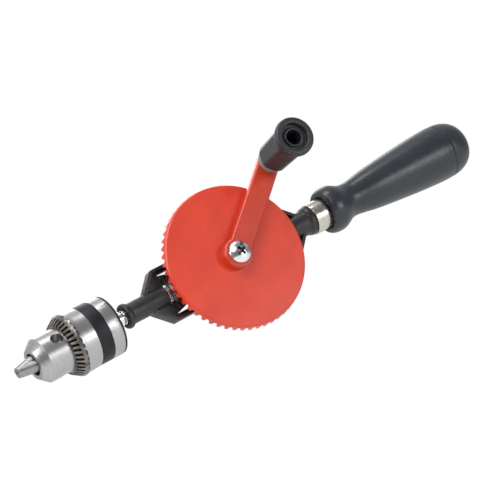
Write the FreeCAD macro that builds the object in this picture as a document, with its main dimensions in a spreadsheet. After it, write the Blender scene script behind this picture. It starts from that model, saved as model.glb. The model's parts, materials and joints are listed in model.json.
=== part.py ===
import FreeCAD, Part
import math
import os
import Sketcher
from FreeCAD import Placement, Rotation, Vector

# Hand drill with a bevel gear wheel, a key chuck and a hollow plastic handle.
# Frame of the part: origin on the spindle axis at the jaw tips, +X along the spindle
# towards the handle, -Y out of the gear wheel's face, +Z up. Millimetres and degrees.

DRIVING = {
    # gear train: both pitch cones meet on the spindle axis, under the crank's centre
    "crank_x": 142.0,
    "gear_module": 1.5,
    "gear_teeth": 56,
    "pinion_teeth": 14,
    "tooth_face": 7.5,
    "gear_addendum": 1.05,
    "gear_dedendum": 1.8,
    "pinion_addendum": 1.45,
    "pinion_dedendum": 1.35,
    "pressure_angle": 20.0,
    "backlash": 0.16,
    "gear_face": 14.0,
    "gear_face_radius": 41.8,
    "gear_edge": 1.2,
    "gear_plate_back": 11.8,
    "gear_boss_radius": 8.0,
    "gear_boss_back": 6.6,
    # crank arm and its knob
    "crank_radius": 60.0,
    "crank_angle": 39.5,
    "arm_width": 13.6,
    "arm_eye_radius": 8.8,
    "arm_top": 20.4,
    "knob_radius": 11.4,
    "knob_base_radius": 8.2,
    "knob_length": 39.2,
    "knob_lip": 2.6,
    "knob_collar": 2.8,
    "knob_collar_radius": 7.5,
    "knob_hole_radius": 4.0,
    "knob_pin_radius": 3.0,
    "axle_radius": 4.0,
    "axle_bush_radius": 5.2,
    "screw_head_radius": 6.5,
    "screw_radius": 2.5,
    "screw_length": 15.5,
    "screw_head_height": 3.6,
    "cross_arm": 2.9,
    "cross_half_width": 0.65,
    "cross_depth": 2.2,
    # frame casting
    "frame_depth": 8.0,
    "frame_half_width": 15.9,
    "window_radius": 12.4,
    "washer_seat_radius": 7.3,
    "washer_seat_depth": 1.9,
    "frame_rim": 1.8,
    "frame_recess": 2.2,
    "nose_front": 70.0,
    "nose_radius": 6.05,
    "nose_lip_radius": 7.3,
    "shoulder_front": 86.5,
    "shoulder_rear": 193.6,
    "window_front": 97.5,
    "window_length": 15.2,
    "neck_radius": 6.6,
    "neck_flare": 7.5,
    "neck_end": 201.3,
    "collar_length": 4.0,
    "collar_radius": 8.5,
    "frame_boss_radius": 9.0,
    "frame_boss_half": 5.8,
    "tail_boss_radius": 7.5,
    "tail_boss_length": 14.0,
    # spindle and idler pin
    "spindle_radius": 4.3,
    "spindle_front": 45.0,
    "spindle_end": 119.5,
    "bush_radius": 5.2,
    "bush_length": 9.0,
    "bush_recess": 2.5,
    "ball_radius": 2.5,
    "idler_pin_radius": 2.5,
    "running_gap": 0.05,
    # chuck
    "jaw_radius": 3.6,
    "jaw_angle": 14.0,
    "jaw_length": 37.8,
    "jaw_lead_in": 4.0,
    "jaw_bore_length": 58.6,
    "jaw_bore_gap": 0.1,
    "jaw_tip_offset": 0.85,
    "jaw_count": 3,
    "bit_bore_radius": 0.75,
    "chuck_turn": 154.0,
    "nose_face_x": 10.3,
    "nose_face_radius": 8.9,
    "nose_cone_end": 15.4,
    "chuck_nose_radius": 13.0,
    "mouth_radius": 6.6,
    "chuck_bore_radius": 5.2,
    "nut_front": 34.3,
    "nut_rear": 40.5,
    "nut_groove_radius": 9.0,
    "chuck_rear_radius": 15.8,
    "chuck_end": 59.7,
    "rear_plate_radius": 17.2,
    "key_hole_x": 25.2,
    "key_hole_radius": 3.2,
    "key_hole_depth": 6.0,
    "sleeve_front": 29.0,
    "sleeve_teeth": 36,
    "sleeve_max_radius": 18.25,
    "tooth_ring_length": 5.0,
    "key_tooth_depth": 1.3,
    "tooth_rim": 1.0,
    "sleeve_gap": 0.08,
    "band_front": 44.1,
    "band_rear": 52.5,
    "band_depth": 0.6,
    # handle
    "ferrule_radius": 9.15,
    "ferrule_end": 211.8,
    "cap_seam": 299.4,
    "handle_end": 316.2,
    "plug_radius": 12.0,
    "plug_length": 15.0,
    "store_floor": 234.0,
    "store_floor_radius": 7.2,
    "tie_rod_radius": 3.9,
    "tie_rod_front": 192.0,
    "tie_rod_end": 242.0,
    "tie_nut_flats": 10.0,
}

doc = FreeCAD.newDocument("HandDrill")
sheet = doc.addObject("Spreadsheet::Sheet", "Sizes")
for row, (alias, number) in enumerate(DRIVING.items(), start=1):
    sheet.set("A%d" % row, alias)
    sheet.set("B%d" % row, str(number))
    sheet.setAlias("B%d" % row, alias)
doc.recompute()


class Size:
    """A number, together with the spreadsheet expression that gives it."""

    def __init__(self, number, text=None):
        self.number = float(number)
        self.text = text or repr(float(number))

    def __add__(self, other):
        other = as_size(other)
        return Size(self.number + other.number, "(%s + %s)" % (self.text, other.text))

    def __sub__(self, other):
        other = as_size(other)
        return Size(self.number - other.number, "(%s - %s)" % (self.text, other.text))

    def __mul__(self, other):
        other = as_size(other)
        return Size(self.number * other.number, "(%s * %s)" % (self.text, other.text))

    def __truediv__(self, other):
        other = as_size(other)
        return Size(self.number / other.number, "(%s / %s)" % (self.text, other.text))

    def __neg__(self):
        return Size(-self.number, "(0 - %s)" % self.text)

    def __rsub__(self, other):
        return as_size(other) - self

    __radd__ = __add__
    __rmul__ = __mul__

    def __float__(self):
        return self.number


def as_size(value):
    return value if isinstance(value, Size) else Size(value)


class Driving:
    """Reads a driving dimension by its alias."""

    def __getattr__(self, alias):
        return Size(sheet.get(alias), "Sizes." + alias)


sz = Driving()
parts = []


def plane_of(body, role):
    for feature in body.Origin.OriginFeatures:
        if feature.Role == role:
            return feature
    raise ValueError("no origin feature " + role)


def new_body(label):
    body = doc.addObject("PartDesign::Body", label)
    body.Label = label
    parts.append(body)
    return body


def new_sketch(body, plane, name, height=0.0):
    """An empty sketch on one of the body's own planes, raised along its normal."""
    sketch = body.newObject("Sketcher::SketchObject", name)
    sketch.AttachmentSupport = [(plane_of(body, plane), "")]
    sketch.MapMode = "FlatFace"
    height = as_size(height)
    if height.number:
        sketch.AttachmentOffset = Placement(Vector(0, 0, height.number), Rotation())
        sketch.setExpression("AttachmentOffset.Base.z", height.text)
    return sketch


def pin_coordinate(sketch, kind, index, value):
    """Holds one coordinate of a line's start at a size from the sheet."""
    value = as_size(value)
    if abs(value.number) < 1e-9:
        axis = -2 if kind == "DistanceX" else -1
        sketch.addConstraint(Sketcher.Constraint("PointOnObject", index, 1, axis))
        return
    number = sketch.addConstraint(Sketcher.Constraint(kind, -1, 1, index, 1, value.number))
    sketch.setExpression("Constraints[%d]" % number, value.text)


def polygon(body, plane, name, points, height=0.0):
    """A closed outline of straight lines whose corners are all held by sizes."""
    sketch = new_sketch(body, plane, name, height)
    corners = [Vector(float(as_size(u)), float(as_size(v)), 0) for u, v in points]
    count = len(corners)
    for index in range(count):
        line = Part.LineSegment(corners[index], corners[(index + 1) % count])
        sketch.addGeometry(line, False)
    for index in range(count):
        following = (index + 1) % count
        sketch.addConstraint(Sketcher.Constraint("Coincident", index, 2, following, 1))
    for index, (u, v) in enumerate(points):
        pin_coordinate(sketch, "DistanceX", index, u)
        pin_coordinate(sketch, "DistanceY", index, v)
    return sketch


def circles(body, plane, name, items, height=0.0):
    """Circles given as (u, v, radius) on one plane."""
    sketch = new_sketch(body, plane, name, height)
    for index, (u, v, radius) in enumerate(items):
        centre = Vector(float(as_size(u)), float(as_size(v)), 0)
        radius = as_size(radius)
        sketch.addGeometry(Part.Circle(centre, Vector(0, 0, 1), radius.number), False)
        number = sketch.addConstraint(Sketcher.Constraint("Radius", index, radius.number))
        sketch.setExpression("Constraints[%d]" % number, radius.text)
        for kind, value in (("DistanceX", as_size(u)), ("DistanceY", as_size(v))):
            if abs(value.number) < 1e-9:
                axis = -2 if kind == "DistanceX" else -1
                sketch.addConstraint(Sketcher.Constraint("PointOnObject", index, 3, axis))
            else:
                number = sketch.addConstraint(
                    Sketcher.Constraint(kind, -1, 1, index, 3, value.number))
                sketch.setExpression("Constraints[%d]" % number, value.text)
    return sketch


def revolve(body, outline, kind="PartDesign::Revolution"):
    """Turns an (axial, radius) outline about the sketch's horizontal axis."""
    feature = body.newObject(kind, outline.Name + "Turned")
    feature.Profile = outline
    feature.ReferenceAxis = (outline, ["H_Axis"])
    feature.Angle = 360.0
    outline.Visibility = False
    body.Tip = feature
    return feature


def turned(label, points):
    """A body turned about its own X axis from (axial, radius) points."""
    body = new_body(label)
    revolve(body, polygon(body, "XZ_Plane", "Outline", points))
    return body


def ring(label, start, end, inner, outer):
    """A plain tube or washer along X."""
    return turned(label, [(start, inner), (end, inner), (end, outer), (start, outer)])


def rod(label, start, end, radius):
    """A plain round bar along X."""
    return turned(label, [(start, 0), (end, 0), (end, radius), (start, radius)])


def extrude(body, sketch, length, kind="PartDesign::Pad", both=False, reverse=False):
    feature = body.newObject(kind, sketch.Name + "Run")
    feature.Profile = sketch
    length = as_size(length)
    feature.Length = length.number
    feature.setExpression("Length", length.text)
    feature.Midplane = both
    feature.Reversed = reverse
    body.Tip = feature
    return feature


def pocket(body, sketch, length, both=False, reverse=False):
    """Cuts a pocket, and stops the build if it removed nothing."""
    doc.recompute()
    before = body.Shape.Volume
    feature = extrude(body, sketch, length, "PartDesign::Pocket", both, reverse)
    doc.recompute()
    if body.Shape.Volume > before - 0.01:
        raise RuntimeError("pocket removed nothing: " + body.Label + " " + sketch.Name)
    return feature


def pattern(body, original, count, axis="X_Axis"):
    feature = body.newObject("PartDesign::PolarPattern", original.Name + "Ring")
    feature.Originals = [original]
    feature.Axis = (plane_of(body, axis), [""])
    feature.Angle = 360.0
    count = as_size(count)
    feature.Occurrences = int(count.number)
    feature.setExpression("Occurrences", count.text)
    body.Tip = feature
    return feature


def cut_spaces(body, name, sections, count, axis="X_Axis"):
    """Cuts tooth spaces: a straight loft between two sections, repeated round the axis."""
    loft = body.newObject("PartDesign::SubtractiveLoft", name)
    loft.Profile = sections[0]
    loft.Sections = [sections[1]]
    loft.Ruled = True
    body.Tip = loft
    doc.recompute()
    return pattern(body, loft, count, axis)


def on_crank_axis(body, turn=0.0):
    """Stands a body's X axis on the crank's axis, pointing out of the wheel's face."""
    stand = Rotation(Vector(0, 0, 1), -90).multiply(Rotation(Vector(1, 0, 0), turn))
    body.Placement = Placement(Vector(float(sz.crank_x), 0, 0), stand)
    body.setExpression("Placement.Base.x", "Sizes.crank_x")


def on_knob_axis(body):
    stand = Rotation(Vector(0, 0, 1), -90)
    turn = math.radians(float(sz.crank_angle))
    reach = float(sz.crank_radius)
    centre = Vector(float(sz.crank_x) + reach * math.cos(turn), 0, reach * math.sin(turn))
    body.Placement = Placement(centre, stand)
    out = "Sizes.crank_radius * %s(Sizes.crank_angle * 1 deg)"
    body.setExpression("Placement.Base.x", "Sizes.crank_x + " + out % "cos")
    body.setExpression("Placement.Base.z", out % "sin")


def turn_with_chuck(body, extra=0.0):
    """Turns a body about the spindle axis so that its +Y side faces a key hole."""
    body.Placement = Placement(Vector(), Rotation(Vector(1, 0, 0), float(sz.chuck_turn) + extra))


# ---- gear train ----

gear_pitch_radius = sz.gear_module * sz.gear_teeth / 2
pinion_pitch_radius = sz.gear_module * sz.pinion_teeth / 2
pressure_slope = math.tan(math.radians(float(sz.pressure_angle)))
inner_scale = 1 - sz.tooth_face / gear_pitch_radius


def gear_space(reach):
    """Tooth space of the wheel at a radius, as (out of the face, along the rim) points."""
    scale = as_size(reach) / gear_pitch_radius
    half_pitch = sz.gear_module * (math.pi / 4) + sz.backlash / 2
    root = pinion_pitch_radius + sz.gear_dedendum
    rise = 2.6
    root_half = half_pitch - sz.gear_dedendum * pressure_slope
    mouth = pinion_pitch_radius - rise
    mouth_half = half_pitch + rise * pressure_slope
    corners = [(root, root_half), (mouth, mouth_half), (mouth, -mouth_half), (root, -root_half)]
    return [(out * scale, along * scale) for out, along in corners]


def make_main_gear():
    """Flat wheel with bevel teeth on the back of its rim."""
    lead = gear_pitch_radius
    tip = pinion_pitch_radius - sz.gear_addendum
    inner = lead * inner_scale
    gap = 0.01
    bore = sz.axle_radius + gap
    body = turned("main_gear", [
        (sz.gear_boss_back, bore),
        (sz.gear_face, bore),
        (sz.gear_face, sz.gear_face_radius - sz.gear_edge),
        (sz.gear_face - sz.gear_edge * 0.3, sz.gear_face_radius - sz.gear_edge * 0.3),
        (sz.gear_face - sz.gear_edge, sz.gear_face_radius),
        (tip, lead + 0.3),
        (tip * inner_scale, inner),
        (sz.gear_plate_back, inner),
        (sz.gear_plate_back, sz.gear_boss_radius),
        (sz.gear_boss_back, sz.gear_boss_radius)])
    sections = []
    for index, reach in enumerate((lead + 1.5, inner - 1.5)):
        sections.append(polygon(body, "XY_Plane", "Space%d" % index, gear_space(reach), reach))
    cut_spaces(body, "ToothSpace", sections, sz.gear_teeth)
    on_crank_axis(body, 180.0 / float(sz.gear_teeth))


def involute(angle):
    return math.tan(angle) - angle


def pinion_space(lead, reach):
    """Tooth space of a pinion in a plane across its axis, centred on the -Y side."""
    pitch = float(pinion_pitch_radius)
    pressure = math.radians(float(sz.pressure_angle))
    base = pitch * math.cos(pressure)
    half_turn = math.pi / (2 * float(sz.pinion_teeth)) + float(sz.backlash) / (2 * pitch)
    radii = (base, 0.5 * (base + pitch), pitch, pitch + 0.75, pitch + 1.5)
    sides = []
    for radius in radii:
        angle = math.acos(min(1.0, base / radius))
        sides.append((radius, half_turn - involute(pressure) + involute(angle)))
    root = pitch - float(sz.pinion_dedendum)
    sides.insert(0, (root, sides[0][1] * 0.8))
    sides.append((pitch + 3.0, sides[-1][1] * 1.25))
    scale = as_size(reach) / lead
    right = [(-r * math.cos(a), r * math.sin(a)) for r, a in sides]
    left = [(-r * math.cos(a), -r * math.sin(a)) for r, a in reversed(sides)]
    return [(scale * u, scale * v) for u, v in right + left]


def make_pinion(label, side, bore):
    """Bevel pinion on the spindle axis; side is -1 towards the chuck, +1 towards the handle."""
    lead = gear_pitch_radius
    tip = pinion_pitch_radius + sz.pinion_addendum
    hub_radius = 6.0
    hub_length = 4.0
    inner = lead * inner_scale
    profile = [(lead, bore), (lead, tip), (inner, tip * inner_scale),
               (inner, hub_radius), (inner - hub_length, hub_radius), (inner - hub_length, bore)]
    body = turned(label, [(sz.crank_x + axial * side, radius) for axial, radius in profile])
    sections = []
    for index, reach in enumerate((lead + 1.5, inner - 1.5)):
        points = pinion_space(lead, reach)
        place = sz.crank_x + reach * side
        sections.append(polygon(body, "YZ_Plane", "Space%d" % index, points, place))
    cut_spaces(body, "ToothSpace", sections, sz.pinion_teeth)
    return body


def make_gear_train():
    make_main_gear()
    front = make_pinion("front_pinion", -1, sz.spindle_radius + 0.01)
    pin_x = sz.crank_x - gear_pitch_radius * inner_scale + 2.0
    hole = circles(front, "XY_Plane", "PinHole", [(pin_x, 0, 1.02)])
    pocket(front, hole, 20.0, both=True)
    pin = new_body("pinion_pin")
    extrude(pin, circles(pin, "XY_Plane", "Section", [(pin_x, 0, 1.0)]), 11.8, both=True)
    make_pinion("idler_pinion", 1, sz.idler_pin_radius + sz.running_gap)


# ---- crank ----

def make_crank_arm():
    body = new_body("crank_arm")
    start = sz.gear_face
    thickness = sz.arm_top - start
    half = sz.arm_width / 2
    tip_half = half - 0.3
    strip = polygon(body, "YZ_Plane", "Strip", [
        (0, -half), (sz.crank_radius, -tip_half), (sz.crank_radius, tip_half), (0, half)], start)
    extrude(body, strip, thickness)
    eye = circles(body, "YZ_Plane", "Eye", [(0, 0, sz.arm_eye_radius)], start)
    extrude(body, eye, thickness)
    tip = circles(body, "YZ_Plane", "Tip", [(sz.crank_radius, 0, tip_half)], start)
    extrude(body, tip, thickness)
    holes = circles(body, "YZ_Plane", "Holes", [
        (0, 0, sz.screw_radius + 0.1), (sz.crank_radius, 0, sz.knob_pin_radius + 0.01)], start)
    pocket(body, holes, thickness, reverse=True)
    on_crank_axis(body, float(sz.crank_angle))


def make_crank_screw():
    """Pan head screw with a cross recess, through the arm into the axle."""
    foot = sz.arm_top - sz.screw_length
    top = sz.arm_top + sz.screw_head_height
    body = turned("crank_screw", [
        (foot, 0), (top, 0), (top - 0.2, 2.6), (top - 1.2, sz.screw_head_radius - 1.3),
        (sz.arm_top + 1.0, sz.screw_head_radius), (sz.arm_top, sz.screw_head_radius),
        (sz.arm_top, sz.screw_radius), (foot, sz.screw_radius)])
    arm = sz.cross_arm
    half = sz.cross_half_width
    cross = polygon(body, "YZ_Plane", "Recess", [
        (arm, -half), (arm, half), (half, half), (half, arm), (-half, arm), (-half, half),
        (-arm, half), (-arm, -half), (-half, -half), (-half, -arm), (half, -arm), (half, -half)],
        top)
    pocket(body, cross, sz.cross_depth)
    on_crank_axis(body, 20.0)


def make_crank():
    make_crank_arm()
    make_crank_screw()
    rear = -9.4
    groove = -8.2
    radius = sz.axle_radius
    axle = turned("crank_axle", [
        (rear, 0), (4.5, 0), (4.5, sz.screw_radius + 0.05), (sz.gear_face, sz.screw_radius + 0.05),
        (sz.gear_face, radius), (groove + 0.9, radius), (groove + 0.9, radius - 0.6),
        (groove, radius - 0.6), (groove, radius), (rear, radius)])
    on_crank_axis(axle)
    rear_face = -sz.frame_boss_half
    for label, start, end, inner, outer in (
            ("axle_bush", rear_face, sz.frame_boss_half, radius + sz.running_gap,
             sz.axle_bush_radius),
            ("gear_washer", sz.frame_boss_half, sz.gear_boss_back - 0.1, radius + 0.3, 8.0),
            ("axle_washer", rear_face - 1.3, rear_face - 0.1, radius + 0.3, 7.4),
            ("axle_circlip", groove + 0.05, groove + 0.85, radius - 0.55, radius + 1.6)):
        on_crank_axis(ring(label, start, end, inner, outer))


# ---- knob ----

def make_knob():
    base = sz.arm_top
    start = base + sz.knob_collar + 0.2
    end = base + sz.knob_length
    bore = sz.knob_pin_radius + sz.running_gap
    floor = base + 12.0
    head = sz.knob_hole_radius - 0.15
    knob = turned("crank_knob", [
        (start, bore), (floor, bore), (floor, sz.knob_hole_radius), (end, sz.knob_hole_radius),
        (end, 5.2), (end - 5.0, 5.2), (end - 5.0, 7.2), (end - 1.0, 8.2), (end, 9.2),
        (end, sz.knob_radius - 0.9), (end - 0.9, sz.knob_radius),
        (end - sz.knob_lip, sz.knob_radius), (end - sz.knob_lip, sz.knob_radius - 0.7),
        (start + 3.0, sz.knob_base_radius + 0.6), (start, sz.knob_base_radius - 0.8)])
    on_knob_axis(knob)
    on_knob_axis(ring("knob_collar", base, base + sz.knob_collar, sz.knob_pin_radius + 0.01,
                      sz.knob_collar_radius))
    pin = turned("knob_pin", [
        (sz.gear_face, 0), (floor + 2.6, 0), (floor + 2.6, head - 1.0), (floor + 1.6, head),
        (floor + 0.1, head), (floor + 0.1, sz.knob_pin_radius), (sz.gear_face, sz.knob_pin_radius)])
    on_knob_axis(pin)


# ---- frame ----

def make_frame():
    body = new_body("frame_casting")
    wide = sz.frame_half_width
    rear = sz.shoulder_rear
    run = wide - sz.nose_radius
    slab = polygon(body, "XZ_Plane", "Slab", [
        (sz.shoulder_front, -sz.nose_radius), (sz.shoulder_front + run, -wide),
        (rear - run, -wide), (rear, -sz.nose_radius), (rear, sz.nose_radius),
        (rear - run, wide), (sz.shoulder_front + run, wide), (sz.shoulder_front, sz.nose_radius)])
    extrude(body, slab, sz.frame_depth, both=True)
    recess_slab(body)
    lip = sz.nose_lip_radius
    tube = polygon(body, "XZ_Plane", "Nose", [
        (sz.nose_front, 0), (sz.window_front, 0), (sz.window_front, sz.nose_radius),
        (sz.nose_front + 4.4, sz.nose_radius), (sz.nose_front + 3.4, lip - 0.4),
        (sz.nose_front + 2.6, lip), (sz.nose_front + 1.2, lip),
        (sz.nose_front + 0.3, lip - 0.5), (sz.nose_front, lip - 1.2)])
    revolve(body, tube)
    rear_wall = sz.crank_x * 2 - sz.window_front
    collar = sz.neck_end - sz.collar_length
    neck = polygon(body, "XZ_Plane", "Neck", [
        (rear_wall, 0), (sz.neck_end, 0), (sz.neck_end, sz.collar_radius - 0.3),
        (sz.neck_end - 0.4, sz.collar_radius), (sz.neck_end - 1.8, sz.collar_radius),
        (collar + 1.0, sz.collar_radius - 0.3), (collar + 0.2, sz.collar_radius - 0.8),
        (collar, sz.neck_flare), (rear_wall, sz.neck_radius)])
    revolve(body, neck)
    add_bosses(body)
    cut_windows(body)
    bore_frame(body)


def recess_slab(body):
    """Sinks both faces of the slab inside a raised rim."""
    rim = sz.frame_rim
    front = sz.shoulder_front + rim
    rear = sz.shoulder_rear - rim
    wide = sz.frame_half_width - rim
    narrow = sz.nose_radius - rim * (math.sqrt(2) - 1)
    run = wide - narrow
    for name, side in (("FrontRecess", 1), ("BackRecess", -1)):
        outline = polygon(body, "XZ_Plane", name, [
            (front, -narrow), (front + run, -wide), (rear - run, -wide), (rear, -narrow),
            (rear, narrow), (rear - run, wide), (front + run, wide), (front, narrow)],
            sz.frame_depth / 2 * side)
        pocket(body, outline, sz.frame_recess, reverse=(side < 0))


def add_bosses(body):
    """Boss for the crank axle, and one each for the spindle's tail and the idler's pin."""
    axle = circles(body, "XZ_Plane", "AxleBoss", [(sz.crank_x, 0, sz.frame_boss_radius)])
    extrude(body, axle, sz.frame_boss_half * 2, both=True)
    window_end = sz.window_front + sz.window_length
    for name, side in (("TailBoss", 1), ("IdlerBoss", -1)):
        start = sz.crank_x + (window_end - sz.crank_x) * side
        boss = circles(body, "YZ_Plane", name, [(0, 0, sz.tail_boss_radius)], start)
        extrude(body, boss, sz.tail_boss_length, reverse=(side < 0))


def cut_windows(body):
    """Round windows in which the pinions turn, each with a seat for its washer."""
    for name, side in (("FrontWindow", 1), ("RearWindow", -1)):
        near = sz.crank_x + (sz.window_front - sz.crank_x) * side
        step = near + sz.washer_seat_depth * side
        far = near + sz.window_length * side
        window = polygon(body, "XZ_Plane", name, [
            (near, 0), (far, 0), (far, sz.window_radius), (step, sz.window_radius),
            (step, sz.washer_seat_radius), (near, sz.washer_seat_radius)])
        revolve(body, window, "PartDesign::Groove")


def bore_frame(body):
    """Bores for the bushes, the spindle's tail, the idler's pin, the tie rod and the axle."""
    hollow = sz.spindle_radius + 0.6
    front = polygon(body, "XZ_Plane", "SpindleBore", [
        (sz.nose_front, 0), (sz.window_front, 0), (sz.window_front, sz.bush_radius),
        (sz.window_front - sz.bush_length, sz.bush_radius), (sz.window_front - sz.bush_length, hollow),
        (sz.nose_front + sz.bush_length, hollow), (sz.nose_front + sz.bush_length, sz.bush_radius),
        (sz.nose_front, sz.bush_radius)])
    revolve(body, front, "PartDesign::Groove")
    window_end = sz.window_front + sz.window_length
    tail_end = sz.spindle_end + sz.ball_radius * 2 + 0.1
    tail = polygon(body, "XZ_Plane", "TailBore", [
        (window_end, 0), (tail_end, 0), (tail_end, sz.spindle_radius + sz.running_gap),
        (window_end, sz.spindle_radius + sz.running_gap)])
    revolve(body, tail, "PartDesign::Groove")
    idler = polygon(body, "XZ_Plane", "IdlerBore", [
        (idler_pin_start(), 0), (idler_pin_end(), 0), (idler_pin_end(), sz.idler_pin_radius + 0.01),
        (idler_pin_start(), sz.idler_pin_radius + 0.01)])
    revolve(body, idler, "PartDesign::Groove")
    tie = polygon(body, "XZ_Plane", "TieBore", [
        (sz.tie_rod_front, 0), (sz.neck_end, 0), (sz.neck_end, sz.tie_rod_radius + 0.01),
        (sz.tie_rod_front, sz.tie_rod_radius + 0.01)])
    revolve(body, tie, "PartDesign::Groove")
    axle = circles(body, "XZ_Plane", "AxleBore", [(sz.crank_x, 0, sz.axle_bush_radius + 0.01)])
    pocket(body, axle, sz.frame_depth * 2, both=True)


def idler_pin_start():
    return sz.crank_x * 2 - sz.window_front - sz.window_length - 4.0


def idler_pin_end():
    return sz.tie_rod_front - 1.0


def make_frame_fittings():
    inner = sz.spindle_radius + sz.running_gap
    outer = sz.bush_radius - 0.01
    ring("nose_bush_front", sz.nose_front + sz.bush_recess, sz.nose_front + sz.bush_length, inner, outer)
    ring("nose_bush_rear", sz.window_front - sz.bush_length, sz.window_front, inner, outer)
    ring("pinion_washer", sz.window_front + 0.2, sz.window_front + 2.2,
         sz.spindle_radius + 0.1, 7.0)
    rear_wall = sz.crank_x * 2 - sz.window_front
    ring("idler_washer", rear_wall - 2.2, rear_wall - 0.2, sz.idler_pin_radius + 0.1, 7.0)
    rod("idler_pin", idler_pin_start(), idler_pin_end(), sz.idler_pin_radius)
    ball = doc.addObject("Part::Sphere", "thrust_ball")
    ball.Label = "thrust_ball"
    ball.setExpression("Radius", "Sizes.ball_radius")
    ball.setExpression("Placement.Base.x", "Sizes.spindle_end + Sizes.ball_radius + 0.05")
    parts.append(ball)


# ---- spindle and chuck ----

def jaw_height(axial):
    """Distance of a jaw rod's axis from the spindle axis."""
    slope = math.tan(math.radians(float(sz.jaw_angle)))
    return as_size(axial) * slope - sz.jaw_tip_offset


def make_spindle():
    body = rod("spindle", sz.spindle_front, sz.spindle_end, sz.spindle_radius)
    pin_x = sz.crank_x - gear_pitch_radius * inner_scale + 2.0
    hole = circles(body, "XY_Plane", "PinHole", [(pin_x, 0, 1.02)])
    pocket(body, hole, 20.0, both=True)


def make_chuck_body():
    bore = sz.chuck_bore_radius
    body = turned("chuck_body", [
        (sz.nose_face_x, sz.mouth_radius), (sz.nose_face_x + 7.0, sz.mouth_radius),
        (sz.nose_face_x + 7.0, bore), (sz.spindle_front, bore),
        (sz.spindle_front, sz.spindle_radius + 0.01), (sz.chuck_end, sz.spindle_radius + 0.01),
        (sz.chuck_end, sz.chuck_rear_radius), (sz.nut_rear, sz.chuck_rear_radius),
        (sz.nut_rear, sz.nut_groove_radius), (sz.nut_front, sz.nut_groove_radius),
        (sz.nut_front, sz.chuck_nose_radius), (sz.nose_cone_end, sz.chuck_nose_radius),
        (sz.nose_face_x, sz.nose_face_radius)])
    bore_jaws(body)
    hole = circles(body, "XZ_Plane", "KeyHole", [(sz.key_hole_x, 0, sz.key_hole_radius)],
                   -sz.chuck_nose_radius)
    cut = pocket(body, hole, sz.key_hole_depth, reverse=True)
    pattern(body, cut, sz.jaw_count)
    turn_with_chuck(body)


def bore_jaws(body):
    """Inclined bore for each jaw, half way round between two key holes."""
    start = -float(sz.jaw_lead_in)
    angle = float(sz.jaw_angle)
    cylinder = body.newObject("PartDesign::SubtractiveCylinder", "JawBore")
    cylinder.setExpression("Radius", "Sizes.jaw_radius + Sizes.jaw_bore_gap")
    cylinder.setExpression("Height", "Sizes.jaw_bore_length")
    lean = Rotation(Vector(1, 0, 0), 60).multiply(Rotation(Vector(0, 0, 1), angle))
    lean = lean.multiply(Rotation(Vector(0, 1, 0), 90))
    foot = Rotation(Vector(1, 0, 0), 60).multVec(Vector(start, float(jaw_height(start)), 0))
    cylinder.Placement = Placement(foot, lean)
    body.Tip = cylinder
    doc.recompute()
    pattern(body, cylinder, sz.jaw_count)


def make_jaw(number):
    """Round rod leaning along its bore, cut to a third of the circle at the front."""
    name = "jaw_%d" % number
    start = -float(sz.jaw_lead_in)
    angle = float(sz.jaw_angle)
    bar = doc.addObject("Part::Cylinder", name + "_bar")
    bar.setExpression("Radius", "Sizes.jaw_radius")
    bar.setExpression("Height", "Sizes.jaw_length + Sizes.jaw_lead_in")
    lean = Rotation(Vector(0, 0, 1), angle).multiply(Rotation(Vector(0, 1, 0), 90))
    bar.Placement = Placement(Vector(start, float(jaw_height(start)), 0), lean)
    third = doc.addObject("Part::Cylinder", name + "_third")
    third.Radius = 20.0
    third.Height = 60.0
    third.Angle = 120.0
    about_x = Rotation(Vector(0, 1, 0), 90)
    turn = Rotation(Vector(1, 0, 0), 30).multiply(about_x)
    third.Placement = Placement(Vector(0, 0.07, 0), turn)
    centre = doc.addObject("Part::Cylinder", name + "_centre")
    centre.setExpression("Radius", "Sizes.bit_bore_radius")
    centre.Height = 80.0
    centre.Placement = Placement(Vector(-5, 0, 0), about_x)
    shared = doc.addObject("Part::Common", name + "_shared")
    shared.Base = bar
    shared.Tool = third
    jaw = doc.addObject("Part::Cut", name)
    jaw.Base = shared
    jaw.Tool = centre
    jaw.Label = name
    turn_with_chuck(jaw, 60.0 + 120.0 * (number - 1))
    parts.append(jaw)


def make_chuck_nut():
    """Split ring that screws the jaws in and out; its bore clears their outer sides."""
    clear = 0.2 + float(sz.jaw_radius) / math.cos(math.radians(float(sz.jaw_angle)))
    front = sz.nut_front + 0.1
    rear = sz.nut_rear - 0.1
    turned("chuck_nut", [
        (front, jaw_height(front) + clear), (rear, jaw_height(rear) + clear),
        (rear, sleeve_bore() - 0.01), (front, sleeve_bore() - 0.01)])


def sleeve_bore():
    return sz.chuck_rear_radius + sz.sleeve_gap


def key_tooth_space(floor, shear):
    """Tapered gap between two teeth of the sleeve, open outwards."""
    height = 6.0
    narrow = 0.25
    wide = narrow + height * 0.4
    return [(floor, shear - narrow), (floor + height, shear - wide),
            (floor + height, shear + wide), (floor, shear + narrow)]


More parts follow.
